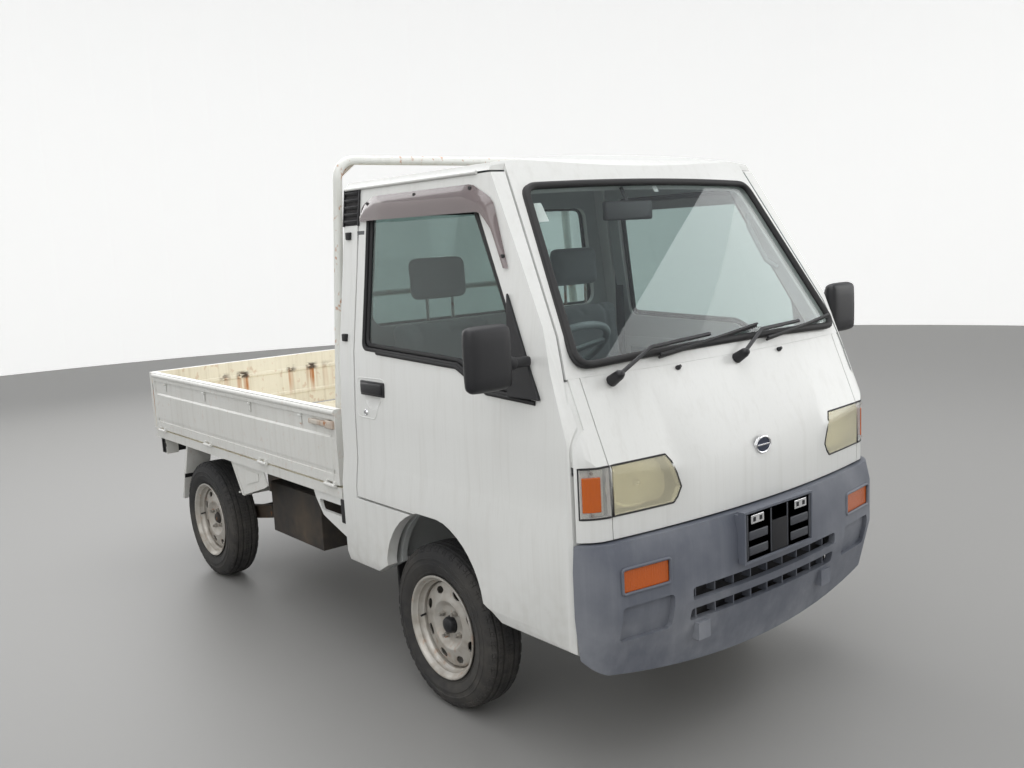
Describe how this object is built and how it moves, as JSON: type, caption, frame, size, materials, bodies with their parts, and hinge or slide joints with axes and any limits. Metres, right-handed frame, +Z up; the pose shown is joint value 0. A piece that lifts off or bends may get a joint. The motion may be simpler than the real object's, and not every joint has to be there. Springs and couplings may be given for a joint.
{
  "type": "kei truck",
  "caption": "Small forward-control truck with hinged cab doors, steered front wheels, a guard hoop and a bed with drop-down gates.",
  "frame": {"origin": "middle of the footprint on the ground", "axes": "+Z up; the nose points to -Y; the driver sits on the -X side"},
  "size_m": [1.7898, 3.295, 1.838],
  "materials": {
    "body_paint": "gloss, dusty",
    "bed_paint": "worn, scratched, rusty",
    "cab_inner": "satin",
    "frame_paint": "matt, dirty",
    "bumper_plastic": "faded, scuffed",
    "window_glass": "clear, green tint",
    "lamp_lens": "yellowed, ribbed",
    "dash_plastic": "grained",
    "seat_cover": "woven, worn",
    "hoop_steel": "gloss, rust spots",
    "red_lens": "ribbed",
    "engine_iron": "oily, rusty",
    "muffler_steel": "rusty",
    "black_plastic": "grained",
    "visor_plastic": "smoky, clear",
    "tyre_rubber": "matt, dusty",
    "wheel_steel": "silver paint, rusty at the flange"
  },
  "bodies": {
    "truck": {"chassis_frame": "frame_paint", "cab_floor": "cab_inner", "cab_back": "body_paint", "cab_roof": "body_paint", "windshield_frame": "body_paint", "front_panel": "body_paint", "front_corners": "body_paint", "front_bumper": "bumper_plastic", "windshield": "window_glass", "rear_window": "window_glass", "front_lamps": "lamp_lens", "dashboard": "dash_plastic", "seats": "seat_cover", "guard_hoop": "hoop_steel", "load_bed": "bed_paint", "rear_lamps": "red_lens", "side_skirts": "body_paint", "mudguards": "body_paint", "engine_block": "engine_iron", "rear_axle": "engine_iron", "fuel_tank": "frame_paint", "muffler": "muffler_steel", "front_suspension": "engine_iron"},
    "door_right": {"door_right": "body_paint", "door_glass_right": "window_glass", "mirror_right": "black_plastic", "visor_right": "visor_plastic"},
    "door_left": {"door_left": "body_paint", "door_glass_left": "window_glass", "mirror_left": "black_plastic", "visor_left": "visor_plastic"},
    "side_gate_right": {"side_gate_right": "body_paint"},
    "side_gate_left": {"side_gate_left": "body_paint"},
    "tailgate": {"tailgate": "body_paint"},
    "knuckle_right": {"knuckle_right": "engine_iron"},
    "knuckle_left": {"knuckle_left": "engine_iron"},
    "wheel_front_right": {"tyre_front_right": "tyre_rubber", "rim_front_right": "wheel_steel"},
    "wheel_front_left": {"tyre_front_left": "tyre_rubber", "rim_front_left": "wheel_steel"},
    "wheel_rear_right": {"tyre_rear_right": "tyre_rubber", "rim_rear_right": "wheel_steel"},
    "wheel_rear_left": {"tyre_rear_left": "tyre_rubber", "rim_rear_left": "wheel_steel"},
    "steering_wheel": {"steering_wheel": "black_plastic"}
  },
  "joints": [
    {"name": "door_right_hinge", "type": "hinge", "parent": "truck", "child": "door_right", "pos_m": [-0.668, -1.464, 0.9], "axis": [0, 0, 1], "range_deg": [0, 65]},
    {"name": "door_left_hinge", "type": "hinge", "parent": "truck", "child": "door_left", "pos_m": [0.668, -1.464, 0.9], "axis": [0, 0, -1], "range_deg": [0, 65]},
    {"name": "side_gate_right_hinge", "type": "hinge", "parent": "truck", "child": "side_gate_right", "pos_m": [-0.6905, 0.7, 0.65], "axis": [0, -1, 0], "range_deg": [0, 175]},
    {"name": "side_gate_left_hinge", "type": "hinge", "parent": "truck", "child": "side_gate_left", "pos_m": [0.6905, 0.7, 0.65], "axis": [0, 1, 0], "range_deg": [0, 175]},
    {"name": "tailgate_hinge", "type": "hinge", "parent": "truck", "child": "tailgate", "pos_m": [0, 1.6405, 0.65], "axis": [-1, 0, 0], "range_deg": [0, 175]},
    {"name": "steer_left", "type": "hinge", "parent": "truck", "child": "knuckle_left", "pos_m": [0.4975, -0.814, 0.272], "axis": [0, 0, 1], "range_deg": [-32, 32]},
    {"name": "steer_right", "type": "hinge", "parent": "truck", "child": "knuckle_right", "pos_m": [-0.4975, -0.814, 0.272], "axis": [0, 0, 1], "range_deg": [-32, 32]},
    {"name": "steering_wheel_turn", "type": "hinge", "parent": "truck", "child": "steering_wheel", "pos_m": [-0.33, -1.05, 1.135], "axis": [0, 0.5736, 0.8192], "range_deg": [-544, 544]},
    {"name": "wheel_front_left_spin", "type": "hinge", "parent": "knuckle_left", "child": "wheel_front_left", "pos_m": [0.6025, -0.814, 0.272], "axis": [1, 0, 0], "continuous": true},
    {"name": "wheel_front_right_spin", "type": "hinge", "parent": "knuckle_right", "child": "wheel_front_right", "pos_m": [-0.6025, -0.814, 0.272], "axis": [1, 0, 0], "continuous": true},
    {"name": "wheel_rear_left_spin", "type": "hinge", "parent": "truck", "child": "wheel_rear_left", "pos_m": [0.6025, 1.071, 0.272], "axis": [1, 0, 0], "continuous": true},
    {"name": "wheel_rear_right_spin", "type": "hinge", "parent": "truck", "child": "wheel_rear_right", "pos_m": [-0.6025, 1.071, 0.272], "axis": [1, 0, 0], "continuous": true}
  ],
  "couplings": [
    {"joint": "steer_right", "follows": "steer_left", "ratio": 1},
    {"joint": "steering_wheel_turn", "follows": "steer_left", "ratio": 17}
  ]
}
